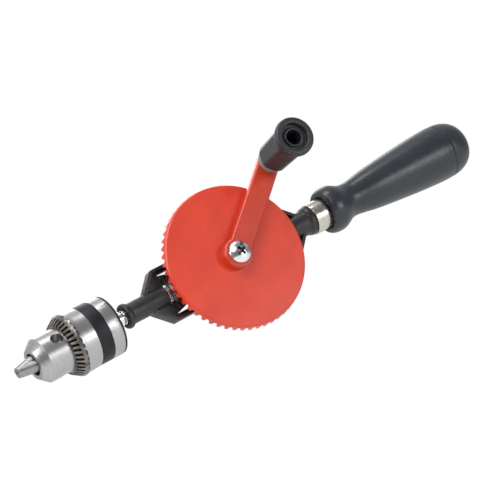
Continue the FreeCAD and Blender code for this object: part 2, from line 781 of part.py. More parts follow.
def make_chuck_sleeve():
    """Toothed sleeve that the chuck key turns."""
    nose_bore = sz.chuck_nose_radius + sz.sleeve_gap
    step = sz.nut_front + 0.05
    front = sz.sleeve_front
    widest = sz.sleeve_max_radius
    ring_end = front + sz.tooth_ring_length
    last = sz.chuck_end
    dip = widest - 0.9 - sz.band_depth
    cone_front = nose_bore + 2.0
    slope = (widest - cone_front) / sz.tooth_ring_length
    body = turned("chuck_sleeve", [
        (front, nose_bore), (step, nose_bore), (step, sleeve_bore()), (last, sleeve_bore()),
        (last, widest - 1.3), (last - 0.5, widest - 0.95), (sz.band_rear, widest - 0.9),
        (sz.band_rear, dip), (sz.band_front, dip), (sz.band_front, widest - 0.85),
        (ring_end + 3.0, widest - 0.4), (ring_end + 1.0, widest), (ring_end, widest),
        (front, cone_front)])
    sections = []
    for index, (past, shear) in enumerate(((-1.0, 0.0), (sz.tooth_ring_length + 0.3, 1.1))):
        floor = cone_front + slope * past - sz.key_tooth_depth
        sections.append(polygon(body, "YZ_Plane", "Space%d" % index,
                                key_tooth_space(floor, shear), front + past))
    cut_spaces(body, "ToothSpace", sections, sz.sleeve_teeth)
    # the plain rim outside the teeth closes the outer end of every space
    rim = widest - sz.tooth_rim
    rim_front = front + (rim - cone_front) / slope
    revolve(body, polygon(body, "XZ_Plane", "Rim", [
        (rim_front, rim), (ring_end, widest), (ring_end + 0.8, widest),
        (ring_end + 0.8, rim - 0.9), (rim_front + 0.9, rim - 0.9)]))
    ring("sleeve_band", sz.band_front + 0.02, sz.band_rear - 0.02, dip + 0.01, widest - 0.88)


def make_chuck():
    make_chuck_body()
    make_chuck_sleeve()
    make_chuck_nut()
    ring("chuck_rear_plate", sz.chuck_end + 0.02, sz.chuck_end + 1.0,
         sz.spindle_radius + 0.02, sz.rear_plate_radius)
    for number in range(1, int(float(sz.jaw_count)) + 1):
        make_jaw(number)


# ---- handle ----

HANDLE_OUTLINE = (
    # distance from the ferrule's end, radius
    (0.4, 9.25), (-0.7, 10.4), (-1.0, 11.0), (-0.9, 11.8), (0.0, 12.9), (1.9, 13.5),
    (4.4, 13.8), (7.2, 13.6),
    (9.8, 12.6), (12.6, 11.1), (15.6, 10.25), (19.0, 10.1), (22.4, 10.45), (26.4, 11.15),
    (32.4, 12.1), (43.4, 13.35), (54.4, 14.4), (64.9, 15.3), (75.9, 16.0))


def make_handle():
    start = sz.ferrule_end
    spigot = sz.ferrule_radius - 0.85
    front = sz.neck_end + 1.0
    turned("handle_grip", [
        (front, sz.tie_rod_radius + 0.02), (sz.store_floor, sz.tie_rod_radius + 0.02),
        (sz.store_floor, sz.store_floor_radius), (sz.cap_seam - sz.plug_length, sz.plug_radius),
        (sz.cap_seam, sz.plug_radius), (sz.cap_seam, 16.15), (sz.cap_seam - 4.4, 16.3)]
        + [(start + along, Size(radius)) for along, radius in reversed(HANDLE_OUTLINE)]
        + [(start + HANDLE_OUTLINE[0][0], spigot), (front, spigot)])


def make_handle_cap():
    seam = sz.cap_seam + 0.1
    end = sz.handle_end
    plug = sz.plug_radius - 0.06
    turned("handle_end_cap", [
        (seam - sz.plug_length + 0.3, 0), (end, 0), (end - 0.5, 6.0), (end - 1.9, 9.4),
        (end - 3.8, 12.0), (end - 6.3, 13.9), (end - 9.3, 15.2), (end - 13.1, 15.9),
        (seam + 0.6, 16.2), (seam, 15.9), (seam, plug), (seam - sz.plug_length + 1.3, plug),
        (seam - sz.plug_length + 0.3, plug - 1.0)])


def make_handle_fittings():
    lip = sz.neck_end + 1.0
    ferrule_end = sz.ferrule_end + HANDLE_OUTLINE[0][0] - 0.02
    turned("ferrule", [
        (sz.neck_end + 0.02, sz.tie_rod_radius + 0.05), (lip - 0.02, sz.tie_rod_radius + 0.05),
        (lip - 0.02, sz.ferrule_radius - 0.83), (ferrule_end, sz.ferrule_radius - 0.83),
        (ferrule_end, sz.ferrule_radius), (sz.neck_end + 0.4, sz.ferrule_radius),
        (sz.neck_end + 0.02, sz.ferrule_radius - 0.4)])
    rod("tie_rod", sz.tie_rod_front + 0.05, sz.tie_rod_end, sz.tie_rod_radius)
    washer_end = sz.store_floor + 1.2
    ring("tie_washer", sz.store_floor + 0.02, washer_end, sz.tie_rod_radius + 0.05, 6.8)
    make_tie_nut(washer_end + 0.02)


def make_tie_nut(start):
    body = new_body("tie_nut")
    corner = sz.tie_nut_flats / math.sqrt(3)
    points = []
    for index in range(6):
        angle = math.radians(60 * index)
        points.append((corner * math.cos(angle), corner * math.sin(angle)))
    extrude(body, polygon(body, "YZ_Plane", "Hexagon", points, start), 5.0)
    bore = circles(body, "YZ_Plane", "Bore", [(0, 0, sz.tie_rod_radius + 0.01)], start)
    pocket(body, bore, 5.0, reverse=True)


def check_and_write():
    doc.recompute()
    for item in doc.Objects:
        if "Invalid" in item.State or "Error" in item.State:
            raise RuntimeError("failed object: " + item.Name + " " + str(item.State))
    os.makedirs("parts", exist_ok=True)
    for part in parts:
        shape = part.Shape
        if shape.isNull() or not shape.isValid():
            raise RuntimeError("bad shape: " + part.Label)
        if len(shape.Solids) != 1:
            raise RuntimeError("%s has %d solids" % (part.Label, len(shape.Solids)))
        shape.exportStep("parts/" + part.Label + ".step")
        print("%-18s volume %9.1f" % (part.Label, shape.Volume))


make_gear_train()
make_crank()
make_knob()
make_frame()
make_frame_fittings()
make_spindle()
make_chuck()
make_handle()
make_handle_cap()
make_handle_fittings()
check_and_write()
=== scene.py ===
import bpy
import bmesh
import json
import math
from mathutils import Matrix, Vector


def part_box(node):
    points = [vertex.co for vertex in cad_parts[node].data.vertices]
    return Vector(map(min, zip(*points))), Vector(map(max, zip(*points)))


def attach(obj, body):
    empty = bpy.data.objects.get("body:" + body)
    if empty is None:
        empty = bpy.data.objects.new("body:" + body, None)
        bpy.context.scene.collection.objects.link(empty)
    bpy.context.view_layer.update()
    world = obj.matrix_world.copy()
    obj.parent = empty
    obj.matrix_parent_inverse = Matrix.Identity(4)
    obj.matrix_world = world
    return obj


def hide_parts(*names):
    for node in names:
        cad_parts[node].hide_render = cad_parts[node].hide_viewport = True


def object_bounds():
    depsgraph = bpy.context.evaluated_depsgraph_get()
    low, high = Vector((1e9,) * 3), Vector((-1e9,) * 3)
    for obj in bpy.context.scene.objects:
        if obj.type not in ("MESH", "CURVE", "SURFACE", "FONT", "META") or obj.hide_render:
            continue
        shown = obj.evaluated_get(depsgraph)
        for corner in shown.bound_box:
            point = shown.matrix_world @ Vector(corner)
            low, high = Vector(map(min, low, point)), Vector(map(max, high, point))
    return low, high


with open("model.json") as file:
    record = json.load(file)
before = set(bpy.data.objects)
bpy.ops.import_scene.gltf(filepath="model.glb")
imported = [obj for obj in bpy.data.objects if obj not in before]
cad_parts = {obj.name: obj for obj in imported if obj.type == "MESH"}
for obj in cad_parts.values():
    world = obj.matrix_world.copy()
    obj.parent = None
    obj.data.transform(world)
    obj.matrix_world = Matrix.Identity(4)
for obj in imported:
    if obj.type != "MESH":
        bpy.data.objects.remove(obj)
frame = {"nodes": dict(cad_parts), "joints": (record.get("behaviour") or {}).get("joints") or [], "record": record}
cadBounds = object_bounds()
scene = bpy.context.scene
mm = 0.001  # outlines below are in millimetres, everything in the scene is in metres
weld = 0.002  # points closer than this are merged


view = {"aim": (0.155, -0.0069, -0.0001), "forward": (0.45264, 0.8854, 0.10573),
        "distance": 1.4453, "roll": -30.7, "lens": 185.3, "sensor": 36.0,
        "nearest": 0.05, "farthest": 30.0}


def placeCamera():
    data = bpy.data.cameras.new("studioCamera")
    data.lens = view["lens"]
    data.sensor_width = view["sensor"]
    data.clip_start = view["nearest"]
    data.clip_end = view["farthest"]
    camera = bpy.data.objects.new("studioCamera", data)
    scene.collection.objects.link(camera)
    forward = Vector(view["forward"]).normalized()
    turn = forward.to_track_quat("-Z", "Y").to_matrix().to_4x4()
    roll = Matrix.Rotation(math.radians(view["roll"]), 4, "Z")
    place = Matrix.Translation(Vector(view["aim"]) - forward * view["distance"])
    camera.matrix_world = place @ turn @ roll
    scene.camera = camera
    print("camera placed")


studio = {"floorDrop": 0.34, "floorSize": 2.4, "backdrop": (0.05, 0.8, 0.55),
          "room": ((0.0, 0.16), (0.55, 0.36), (0.85, 0.72))}  # (how far towards it, grey)

lamps = {
    # place, width, depth, watts; all of them face the drill's middle
    "keyLamp": ((-0.35, -1.15, 1.05), 1.0, 1.0, 11.5),
    "topLamp": ((0.155, -0.30, 1.15), 1.1, 0.36, 5.6),
    "sideLamp": ((-1.15, -0.12, 0.75), 0.5, 0.5, 7.0),
    "fillLamp": ((0.68, -1.0, -0.17), 0.55, 0.4, 2.6),
    "backLamp": ((0.6, 1.1, 0.9), 0.9, 0.9, 4.0),
}


def makeStudio():
    low, high = (Vector(corner) for corner in cadBounds)
    middle = (low + high) / 2
    bm = bmesh.new()
    bmesh.ops.create_grid(bm, x_segments=8, y_segments=8, size=studio["floorSize"] / 2)
    bmesh.ops.translate(bm, verts=bm.verts, vec=(middle.x, middle.y, low.z - studio["floorDrop"]))
    mesh = bpy.data.meshes.new("studioFloor")
    bm.to_mesh(mesh)
    bm.free()
    floor = bpy.data.objects.new("studioFloor", mesh)
    scene.collection.objects.link(floor)
    mesh.materials.append(paleFloor())
    for name, (place, width, depth, watts) in lamps.items():
        data = bpy.data.lights.new(name, "AREA")
        data.shape = "ELLIPSE"
        data.size = width
        data.size_y = depth
        data.energy = watts
        lamp = bpy.data.objects.new(name, data)
        lamp.location = place
        lamp.rotation_euler = (middle - Vector(place)).to_track_quat("-Z", "Y").to_euler()
        scene.collection.objects.link(lamp)
    lightWorld()
    scene.view_settings.view_transform = "Standard"
    print("studio set up")


def lightWorld():
    # the eye sees plain white behind the drill, and metal reflects a grey room
    # that is brighter towards the backdrop
    world = bpy.data.worlds.new("softRoom")
    world.use_nodes = True
    scene.world = world
    tree = world.node_tree
    nodes = tree.nodes
    room = nodes["Background"]
    white = nodes.new("ShaderNodeBackground")
    white.inputs["Color"].default_value = (1, 1, 1, 1)
    coords = nodes.new("ShaderNodeTexCoord")
    facing = nodes.new("ShaderNodeVectorMath")
    facing.operation = "DOT_PRODUCT"
    facing.inputs[1].default_value = studio["backdrop"]
    lift = nodes.new("ShaderNodeMapRange")
    lift.inputs["From Min"].default_value = -1.0
    ramp = nodes.new("ShaderNodeValToRGB")
    ramp.color_ramp.elements.new(0.5)
    for stop, (place, grey) in zip(ramp.color_ramp.elements, studio["room"]):
        stop.position = place
        stop.color = (grey, grey, grey, 1)
    path = nodes.new("ShaderNodeLightPath")
    mix = nodes.new("ShaderNodeMixShader")
    tree.links.new(coords.outputs["Generated"], facing.inputs[0])
    tree.links.new(facing.outputs["Value"], lift.inputs["Value"])
    tree.links.new(lift.outputs["Result"], ramp.inputs["Fac"])
    tree.links.new(ramp.outputs["Color"], room.inputs["Color"])
    tree.links.new(path.outputs["Is Camera Ray"], mix.inputs["Fac"])
    tree.links.new(room.outputs["Background"], mix.inputs[1])
    tree.links.new(white.outputs["Background"], mix.inputs[2])
    tree.links.new(mix.outputs["Shader"], nodes["World Output"].inputs["Surface"])


def startFinish(name, colour, metallic, roughness, more=None):
    finish = bpy.data.materials.new(name)
    finish.use_nodes = True
    shader = finish.node_tree.nodes["Principled BSDF"]
    shader.inputs["Base Color"].default_value = (*colour, 1)
    shader.inputs["Metallic"].default_value = metallic
    shader.inputs["Roughness"].default_value = roughness
    for socket, value in (more or {}).items():
        shader.inputs[socket].default_value = value
    return finish, finish.node_tree, shader


def grain(tree, size, detail=3.0, stretch=(1, 1, 1)):
    # noise with spots of that size in millimetres; a small stretch makes long streaks
    coords = tree.nodes.new("ShaderNodeTexCoord")
    mapping = tree.nodes.new("ShaderNodeMapping")
    mapping.inputs["Scale"].default_value = [side / (size * mm) for side in stretch]
    noise = tree.nodes.new("ShaderNodeTexNoise")
    noise.inputs["Scale"].default_value = 1.0
    noise.inputs["Detail"].default_value = detail
    tree.links.new(coords.outputs["Object"], mapping.inputs["Vector"])
    tree.links.new(mapping.outputs["Vector"], noise.inputs["Vector"])
    return noise.outputs["Fac"]


def spread(tree, value, low, high, start=0.32, end=0.68):
    node = tree.nodes.new("ShaderNodeMapRange")
    node.inputs["From Min"].default_value = start
    node.inputs["From Max"].default_value = end
    node.inputs["To Min"].default_value = low
    node.inputs["To Max"].default_value = high
    tree.links.new(value, node.inputs["Value"])
    return node.outputs["Result"]


def tint(tree, value, dark, light):
    node = tree.nodes.new("ShaderNodeMix")
    node.data_type = "RGBA"
    tree.links.new(spread(tree, value, 0.0, 1.0), node.inputs["Factor"])
    node.inputs[6].default_value = (*dark, 1)
    node.inputs[7].default_value = (*light, 1)
    return node.outputs[2]


def bump(tree, shader, height, depth, under=None):
    node = tree.nodes.new("ShaderNodeBump")
    node.inputs["Distance"].default_value = depth * mm
    node.inputs["Strength"].default_value = 1.0
    tree.links.new(height, node.inputs["Height"])
    if under:
        tree.links.new(under, node.inputs["Normal"])
    tree.links.new(node.outputs["Normal"], shader.inputs["Normal"])
    return node.outputs["Normal"]


def paleFloor():
    finish, tree, shader = startFinish("paleFloor", (0.86, 0.86, 0.85), 0.0, 0.8)
    patches = grain(tree, 60.0)
    tree.links.new(spread(tree, patches, 0.72, 0.85), shader.inputs["Roughness"])
    return finish


redLook = {"paint": ((0.60, 0.032, 0.008), (0.70, 0.044, 0.012)),
           "patch": 16.0, "sheen": 5.0, "rough": (0.30, 0.44), "peel": 1.1, "peelDepth": 0.012,
           "coat": 0.45, "coatRough": 0.16}


def redPaint(name, paint):
    # sprayed enamel with a fine orange peel
    deep, bright = paint
    finish, tree, shader = startFinish(name, bright, 0.0, redLook["rough"][0],
                                       {"Coat Weight": redLook["coat"],
                                        "Coat Roughness": redLook["coatRough"]})
    patches = grain(tree, redLook["patch"], 5.0)
    tree.links.new(tint(tree, patches, deep, bright), shader.inputs["Base Color"])
    tree.links.new(spread(tree, grain(tree, redLook["sheen"], 6.0), *redLook["rough"]),
                   shader.inputs["Roughness"])
    bump(tree, shader, grain(tree, redLook["peel"], 2.0), redLook["peelDepth"])
    return finish


blackLook = {"paint": ((0.010, 0.010, 0.012), (0.022, 0.022, 0.026)), "patch": 9.0,
             "sheen": 3.0, "rough": (0.34, 0.52), "cast": 2.4, "castDepth": 0.05,
             "grit": 0.6, "gritDepth": 0.012}


def blackPaint():
    # satin paint over a cast skin
    deep, bright = blackLook["paint"]
    finish, tree, shader = startFinish("blackEnamel", deep, 0.0, blackLook["rough"][0])
    tree.links.new(tint(tree, grain(tree, blackLook["patch"], 5.0), deep, bright),
                   shader.inputs["Base Color"])
    tree.links.new(spread(tree, grain(tree, blackLook["sheen"], 5.0), *blackLook["rough"]),
                   shader.inputs["Roughness"])
    under = bump(tree, shader, grain(tree, blackLook["cast"], 3.0), blackLook["castDepth"])
    bump(tree, shader, grain(tree, blackLook["grit"], 2.0), blackLook["gritDepth"], under)
    return finish


metalLook = {
    # sizes of the marks and their depths
    "ring": 0.35, "ringStretch": (1, 0.03, 0.03), "ringDepth": 0.0012,
    "wave": 4.0, "waveDepth": 0.005, "cloud": 3.0, "plateGrain": 2.4, "plateDepth": 0.002,
    "oilPatch": 2.2, "oilGrain": 0.7, "oilDepth": 0.008, "oilCoat": 0.2, "oilMetal": 0.9,
}


def turnedMetal(name, dark, light, rough):
    # lathe marks run round the spindle
    finish, tree, shader = startFinish(name, light, 1.0, rough[0])
    rings = grain(tree, metalLook["ring"], 4.0, metalLook["ringStretch"])
    tree.links.new(tint(tree, rings, dark, light), shader.inputs["Base Color"])
    tree.links.new(spread(tree, rings, *rough), shader.inputs["Roughness"])
    under = bump(tree, shader, rings, metalLook["ringDepth"])
    bump(tree, shader, grain(tree, metalLook["wave"], 3.0), metalLook["waveDepth"], under)
    return finish


def platedMetal(name, dark, light, rough):
    # bright plating with faint clouding
    finish, tree, shader = startFinish(name, light, 1.0, rough[0])
    clouds = grain(tree, metalLook["cloud"], 6.0)
    tree.links.new(tint(tree, clouds, dark, light), shader.inputs["Base Color"])
    tree.links.new(spread(tree, clouds, *rough), shader.inputs["Roughness"])
    bump(tree, shader, grain(tree, metalLook["plateGrain"], 3.0), metalLook["plateDepth"])
    return finish


def oiledMetal(name, dark, light, rough):
    # machined steel or bronze under a film of oil
    finish, tree, shader = startFinish(name, light, metalLook["oilMetal"], rough[0],
                                       {"Coat Weight": metalLook["oilCoat"]})
    patches = grain(tree, metalLook["oilPatch"], 6.0)
    tree.links.new(tint(tree, patches, dark, light), shader.inputs["Base Color"])
    tree.links.new(spread(tree, patches, rough[1], rough[0]), shader.inputs["Roughness"])
    bump(tree, shader, grain(tree, metalLook["oilGrain"], 3.0), metalLook["oilDepth"])
    return finish


plasticLook = {"cloud": 20.0, "sheen": 1.6, "texture": 1.3, "textureDepth": 0.004}


def mouldedPlastic(name, dark, light, rough):
    # injection moulding with a fine spark texture
    finish, tree, shader = startFinish(name, light, 0.0, rough[0])
    clouds = grain(tree, plasticLook["cloud"], 4.0)
    tree.links.new(tint(tree, clouds, dark, light), shader.inputs["Base Color"])
    tree.links.new(spread(tree, grain(tree, plasticLook["sheen"], 5.0), *rough),
                   shader.inputs["Roughness"])
    bump(tree, shader, grain(tree, plasticLook["texture"], 2.0), plasticLook["textureDepth"])
    return finish


def makeFinishes():
    made = {
        "red_paint": redPaint("redEnamel", redLook["paint"]),
        "black_paint": blackPaint(),
        "turned_steel": turnedMetal("turnedSteel", (0.40, 0.40, 0.41), (0.47, 0.47, 0.48),
                                    (0.28, 0.36)),
        "dark_steel": oiledMetal("oiledSteel", (0.03, 0.025, 0.022), (0.11, 0.095, 0.085),
                                 (0.34, 0.55)),
        "black_oxide": turnedMetal("blackOxide", (0.030, 0.030, 0.033), (0.045, 0.045, 0.05),
                                   (0.42, 0.55)),
        "zinc": platedMetal("brightZinc", (0.66, 0.68, 0.71), (0.82, 0.84, 0.86), (0.12, 0.24)),
        "nickel": platedMetal("warmNickel", (0.50, 0.47, 0.42), (0.62, 0.59, 0.54), (0.18, 0.30)),
        "bronze": oiledMetal("oiledBronze", (0.30, 0.17, 0.07), (0.50, 0.31, 0.14), (0.3, 0.5)),
        "handle_plastic": mouldedPlastic("slatePlastic", (0.018, 0.023, 0.029),
                                         (0.025, 0.031, 0.039), (0.26, 0.36)),
        "knob_plastic": mouldedPlastic("charcoalPlastic", (0.016, 0.018, 0.022),
                                       (0.022, 0.024, 0.029), (0.38, 0.48)),
        "collar_plastic": mouldedPlastic("greyPlastic", (0.17, 0.18, 0.18), (0.22, 0.23, 0.23),
                                         (0.42, 0.55)),
    }
    print("finishes made:", len(made))
    return made


def bevelCorners(bm, corners, widths, segments=4):
    for corner, width in zip(corners, widths):
        if width:
            bmesh.ops.bevel(bm, geom=[corner], offset=width * mm, offset_type="OFFSET",
                            segments=segments, profile=0.5, affect="VERTICES", material=-1)


def straightOutline(points, closed=False):
    # points are (along the axis, radius, corner rounding)
    bm = bmesh.new()
    corners = [bm.verts.new((along * mm, 0, radius * mm)) for along, radius, _ in points]
    pairs = list(zip(corners, corners[1:]))
    if closed:
        pairs.append((corners[-1], corners[0]))
    for pair in pairs:
        bm.edges.new(pair)
    bevelCorners(bm, corners, [rounding for _, _, rounding in points])
    return bm


def curvedOutline(points, fineness=6):
    # points are (along the axis, radius, handle), where AUTO runs smoothly through the point
    curve = bpy.data.curves.new("outline", "CURVE")
    curve.dimensions = "3D"
    spline = curve.splines.new("BEZIER")
    spline.bezier_points.add(len(points) - 1)
    spline.resolution_u = fineness
    for knot, (along, radius, handle) in zip(spline.bezier_points, points):
        knot.co = (along * mm, 0, radius * mm)
        knot.handle_left_type = handle
        knot.handle_right_type = handle
    holder = bpy.data.objects.new("outline", curve)
    mesh = bpy.data.meshes.new_from_object(holder)
    bm = bmesh.new()
    bm.from_mesh(mesh)
    bpy.data.objects.remove(holder)
    bpy.data.curves.remove(curve)
    bpy.data.meshes.remove(mesh)
    return bm


def spinRound(bm, steps=96):
    bmesh.ops.spin(bm, geom=bm.verts[:] + bm.edges[:], cent=(0, 0, 0), axis=(1, 0, 0),
                   angle=math.tau, steps=steps, use_merge=True)
    bmesh.ops.remove_doubles(bm, verts=bm.verts, dist=weld * mm)
    bmesh.ops.recalc_face_normals(bm, faces=bm.faces)
    return bm


def copyOf(node):
    # a CAD node's shape with its loose triangles joined into faces
    bm = bmesh.new()
    bm.from_mesh(frame["nodes"][node].data)
    bmesh.ops.remove_doubles(bm, verts=bm.verts, dist=weld * mm)
    bmesh.ops.dissolve_limit(bm, angle_limit=math.radians(0.6), verts=bm.verts, edges=bm.edges)
    return bm


def softenEdges(bm, width, angle=35.0, segments=2, chosen=None):
    limit = math.radians(angle)
    edges = [edge for edge in bm.edges if len(edge.link_faces) == 2
             and edge.calc_face_angle(0.0) > limit and (chosen is None or chosen(edge))]
    bmesh.ops.bevel(bm, geom=edges, offset=width * mm, offset_type="OFFSET", segments=segments,
                    profile=0.5, affect="EDGES", clamp_overlap=True, material=-1)


flatSide = {"corners": 6, "area": 12.0}  # a side with more of both is kept flat


def addPiece(name, bm, body, slotName, *nodes, sharp=30.0):
    mesh = bpy.data.meshes.new(name)
    bm.to_mesh(mesh)
    bm.free()
    mesh.shade_smooth()
    mesh.set_sharp_from_angle(angle=math.radians(sharp))
    # a wide flat face keeps its own direction, so that a rounded edge beside it doesn't shade it
    for side in mesh.polygons:
        if len(side.vertices) > flatSide["corners"] and side.area > flatSide["area"] * mm * mm:
            side.use_smooth = False
    mesh.materials.append(finishes[slotName])
    piece = bpy.data.objects.new(name, mesh)
    scene.collection.objects.link(piece)
    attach(piece, body)
    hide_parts(*nodes)
    return piece


def cutAway(bm, cutter):
    # takes the cutter's shape out of bm with a Boolean modifier
    meshes = []
    for index, shape in enumerate((bm, cutter)):
        mesh = bpy.data.meshes.new("cut%d" % index)
        shape.to_mesh(mesh)
        shape.free()
        holder = bpy.data.objects.new("cut%d" % index, mesh)
        scene.collection.objects.link(holder)
        meshes.append(holder)
    worked, tool = meshes
    modifier = worked.modifiers.new("cut", "BOOLEAN")
    modifier.operation = "DIFFERENCE"
    modifier.solver = "EXACT"
    modifier.object = tool
    bpy.context.view_layer.update()
    result = bpy.data.meshes.new_from_object(worked.evaluated_get(
        bpy.context.evaluated_depsgraph_get()))
    made = bmesh.new()
    made.from_mesh(result)
    for holder in meshes:
        old = holder.data
        bpy.data.objects.remove(holder)
        bpy.data.meshes.remove(old)
    bpy.data.meshes.remove(result)
    bmesh.ops.remove_doubles(made, verts=made.verts, dist=weld * mm)
    return made


def jointPoint(name):
    return next(Vector(joint["pos_m"]) for joint in frame["joints"] if joint["name"] == name)


def outward(point):
    # stands a shape made along X so that it points out of the wheel's face, at that point
    place = Matrix.Translation((point.x, 0, point.z))
    return place @ Matrix.Rotation(math.radians(-90), 4, "Z")


def span(node, side=0):
    # a node's first and last place along an axis, in millimetres
    low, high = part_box(node)
    return low[side] / mm, high[side] / mm


grip = {
    # (past the ferrule, radius) along the bead, the waist and the swell
    "bead": ((-0.3, 12.75), (1.5, 13.5), (4.0, 13.8), (7.2, 13.5), (10.6, 12.1)),
    "waist": ((14.2, 10.5), (18.4, 10.1), (22.6, 10.55)),
    "swell": ((32.0, 12.1), (43.0, 13.35), (54.0, 14.4), (64.5, 15.3), (75.5, 16.0), (82.8, 16.3)),
    "rim": ((-1.05, 10.4), (-1.35, 11.1), (-1.15, 11.8)),
    "seamRadius": 16.2, "seamRound": 0.45, "bore": 12.0, "boreFloor": 7.2,
    "storeFloor": 234.0, "plugLength": 15.0, "rodRadius": 3.95, "spigot": 8.3, "recess": 9.2,
}


def makeGrip():
    start = span("ferrule")[1]
    front, seam = span("handle_grip")
    rod, spigot = grip["rodRadius"], grip["spigot"]
    knots = [(front, rod, "VECTOR"), (front, spigot, "VECTOR"), (start, spigot, "VECTOR"),
             (start, grip["recess"], "VECTOR")]
    for part in ("rim", "bead", "waist", "swell"):
        knots += [(start + past, radius, "AUTO") for past, radius in grip[part]]
    knots += [(seam - grip["seamRound"], grip["seamRadius"], "VECTOR"),
              (seam, grip["seamRadius"] - 0.4, "VECTOR"), (seam, grip["bore"], "VECTOR"),
              (seam - grip["plugLength"], grip["bore"], "VECTOR"),
              (grip["storeFloor"], grip["boreFloor"], "VECTOR"),
              (grip["storeFloor"], rod, "VECTOR"), (front, rod, "VECTOR")]
    bm = spinRound(curvedOutline(knots))
    addPiece("handleGrip", bm, "frame", "handle_plastic", "handle_grip")


endCap = {
    # (before the far end, radius) round the dome
    "dome": ((13.2, 15.95), (9.4, 15.1), (5.6, 13.3), (2.7, 10.5), (0.8, 6.6)),
    "seamRadius": 16.15, "seamRound": 0.45, "seamGap": 0.1,
    "plugRadius": 11.94, "plugChamfer": 1.0,
}


def makeEndCap():
    front, end = span("handle_end_cap")
    seam = span("handle_grip")[1] + endCap["seamGap"]
    plug, outer, chamfer = endCap["plugRadius"], endCap["seamRadius"], endCap["plugChamfer"]
    knots = [(front, 0, "VECTOR"), (front, plug - chamfer, "VECTOR"),
             (front + chamfer, plug, "VECTOR"), (seam, plug, "VECTOR"),
             (seam, outer - endCap["seamRound"], "VECTOR"),
             (seam + endCap["seamRound"], outer, "VECTOR")]
    knots += [(end - before, radius, "AUTO") for before, radius in endCap["dome"]]
    knots += [(end, 0, "AUTO")]
    bm = spinRound(curvedOutline(knots))
    addPiece("endCap", bm, "cap", "handle_plastic", "handle_end_cap")


ferrule = {"rodHole": 4.0, "wall": 0.8, "floor": 0.9, "frontRound": 0.45, "endRound": 0.3}


def makeFerrule():
    front, end = span("ferrule")
    outer = span("ferrule", 2)[1]
    inner, floor = outer - ferrule["wall"], front + ferrule["floor"]
    bm = spinRound(straightOutline([
        (front, ferrule["rodHole"], 0), (front, outer, ferrule["frontRound"]),
        (end, outer, ferrule["endRound"]), (end, inner, 0), (floor, inner, 0),
        (floor, ferrule["rodHole"], 0)], closed=True))
    addPiece("ferruleRing", bm, "frame", "nickel", "ferrule")


castFrame = {"edge": 0.55, "corner": 38.0}


def makeFrame():
    bm = copyOf("frame_casting")
    softenEdges(bm, castFrame["edge"], castFrame["corner"])
    addPiece("castFrame", bm, "frame", "black_paint", "frame_casting", sharp=castFrame["corner"])


nose = {"edge": 0.25, "corner": 22.0, "edgesEnd": 27.0}

# worn countersinks round the key holes, from inner to outer radius
keyHole = {"along": 25.2, "radial": 13.1, "inner": 3.15, "outer": 4.7, "depth": 2.2,
           "holes": 3, "turn": 64.0}


def makeChuckNose():
    bm = copyOf("chuck_body")
    softenEdges(bm, nose["edge"], nose["corner"], 2,
                lambda edge: max(v.co.x for v in edge.verts) < nose["edgesEnd"] * mm)
    for number in range(keyHole["holes"]):
        sink = bmesh.new()
        bmesh.ops.create_cone(sink, cap_ends=True, segments=48, radius1=keyHole["inner"] * mm,
                              radius2=keyHole["outer"] * mm, depth=keyHole["depth"] * mm)
        angle = keyHole["turn"] + 360 / keyHole["holes"] * number
        turn = Matrix.Rotation(math.radians(angle), 4, "X")
        place = Matrix.Translation((keyHole["along"] * mm, 0, keyHole["radial"] * mm))
        bmesh.ops.transform(sink, matrix=turn @ place, verts=sink.verts)
        bm = cutAway(bm, sink)
    addPiece("chuckNose", bm, "spindle", "turned_steel", "chuck_body", sharp=20.0)


toothRing = {
    # the ring between the teeth is brown with old oil, and the gaps are painted near black as shade
    "length": 5.6, "dark": (0.10, 0.09, 0.08), "light": (0.26, 0.24, 0.215),
    "gapShadeDark": (0.006, 0.005, 0.004), "gapShadeLight": (0.03, 0.025, 0.02), "rough": (0.28, 0.42),
    "gapRough": (0.5, 0.7), "landTilt": 0.25, "facing": 0.3, "frontFacing": 0.9,
    "coneFront": 15.08, "coneSlope": 0.634, "coneSlack": 0.3,
}


def makeSleeve():
    bm = copyOf("chuck_sleeve")
    piece = addPiece("toothedSleeve", bm, "sleeve", "turned_steel", "chuck_sleeve", sharp=25.0)
    piece.data.materials.append(oiledMetal("brownedRing", toothRing["dark"],
                                           toothRing["light"], toothRing["rough"]))
    # near-black paint standing in for the shade down in the gaps between the teeth
    piece.data.materials.append(oiledMetal("paintedGapShade", toothRing["gapShadeDark"],
                                           toothRing["gapShadeLight"], toothRing["gapRough"]))
    front = span("chuck_sleeve")[0]
    for face in piece.data.polygons:
        if face.center.x > (front + toothRing["length"]) * mm:
            continue
        spoke = Vector((0, face.center.y, face.center.z)).normalized()
        facing = face.normal.dot(spoke)
        sideways = abs(face.normal.dot(spoke.cross((1, 0, 0))))
        land = (facing > toothRing["facing"] and sideways < toothRing["landTilt"]
                and onCone(face.center, front))
        inside = facing < -toothRing["facing"] or face.normal.x < -toothRing["frontFacing"]
        # faces in the gaps between the teeth get the painted shade
        face.material_index = 1 if land or inside else 2


def onCone(point, front):
    # on the outer cone of the toothed ring, as against the floor of a gap
    cone = toothRing["coneFront"] + toothRing["coneSlope"] * (point.x / mm - front)
    return point.yz.length / mm > cone - toothRing["coneSlack"]


band = {"depth": 0.55, "edge": 0.15}


def makeSleeveBand():
    front, end = span("sleeve_band")
    outer = span("sleeve_band", 2)[1]
    inner = outer - band["depth"]
    bm = spinRound(straightOutline([
        (front, inner, 0), (front, outer, band["edge"]), (end, outer, band["edge"]),
        (end, inner, 0)], closed=True))
    addPiece("sleeveBand", bm, "sleeve", "black_oxide", "sleeve_band")


rearPlate = {"bore": 4.4, "edge": 0.35}


def makeRearPlate():
    front, end = span("chuck_rear_plate")
    outer = span("chuck_rear_plate", 2)[1]
    bm = spinRound(straightOutline([
        (front, rearPlate["bore"], 0), (front, outer, 0), (end, outer, rearPlate["edge"]),
        (end, rearPlate["bore"], 0)], closed=True))
    addPiece("rearPlate", bm, "spindle", "black_oxide", "chuck_rear_plate")


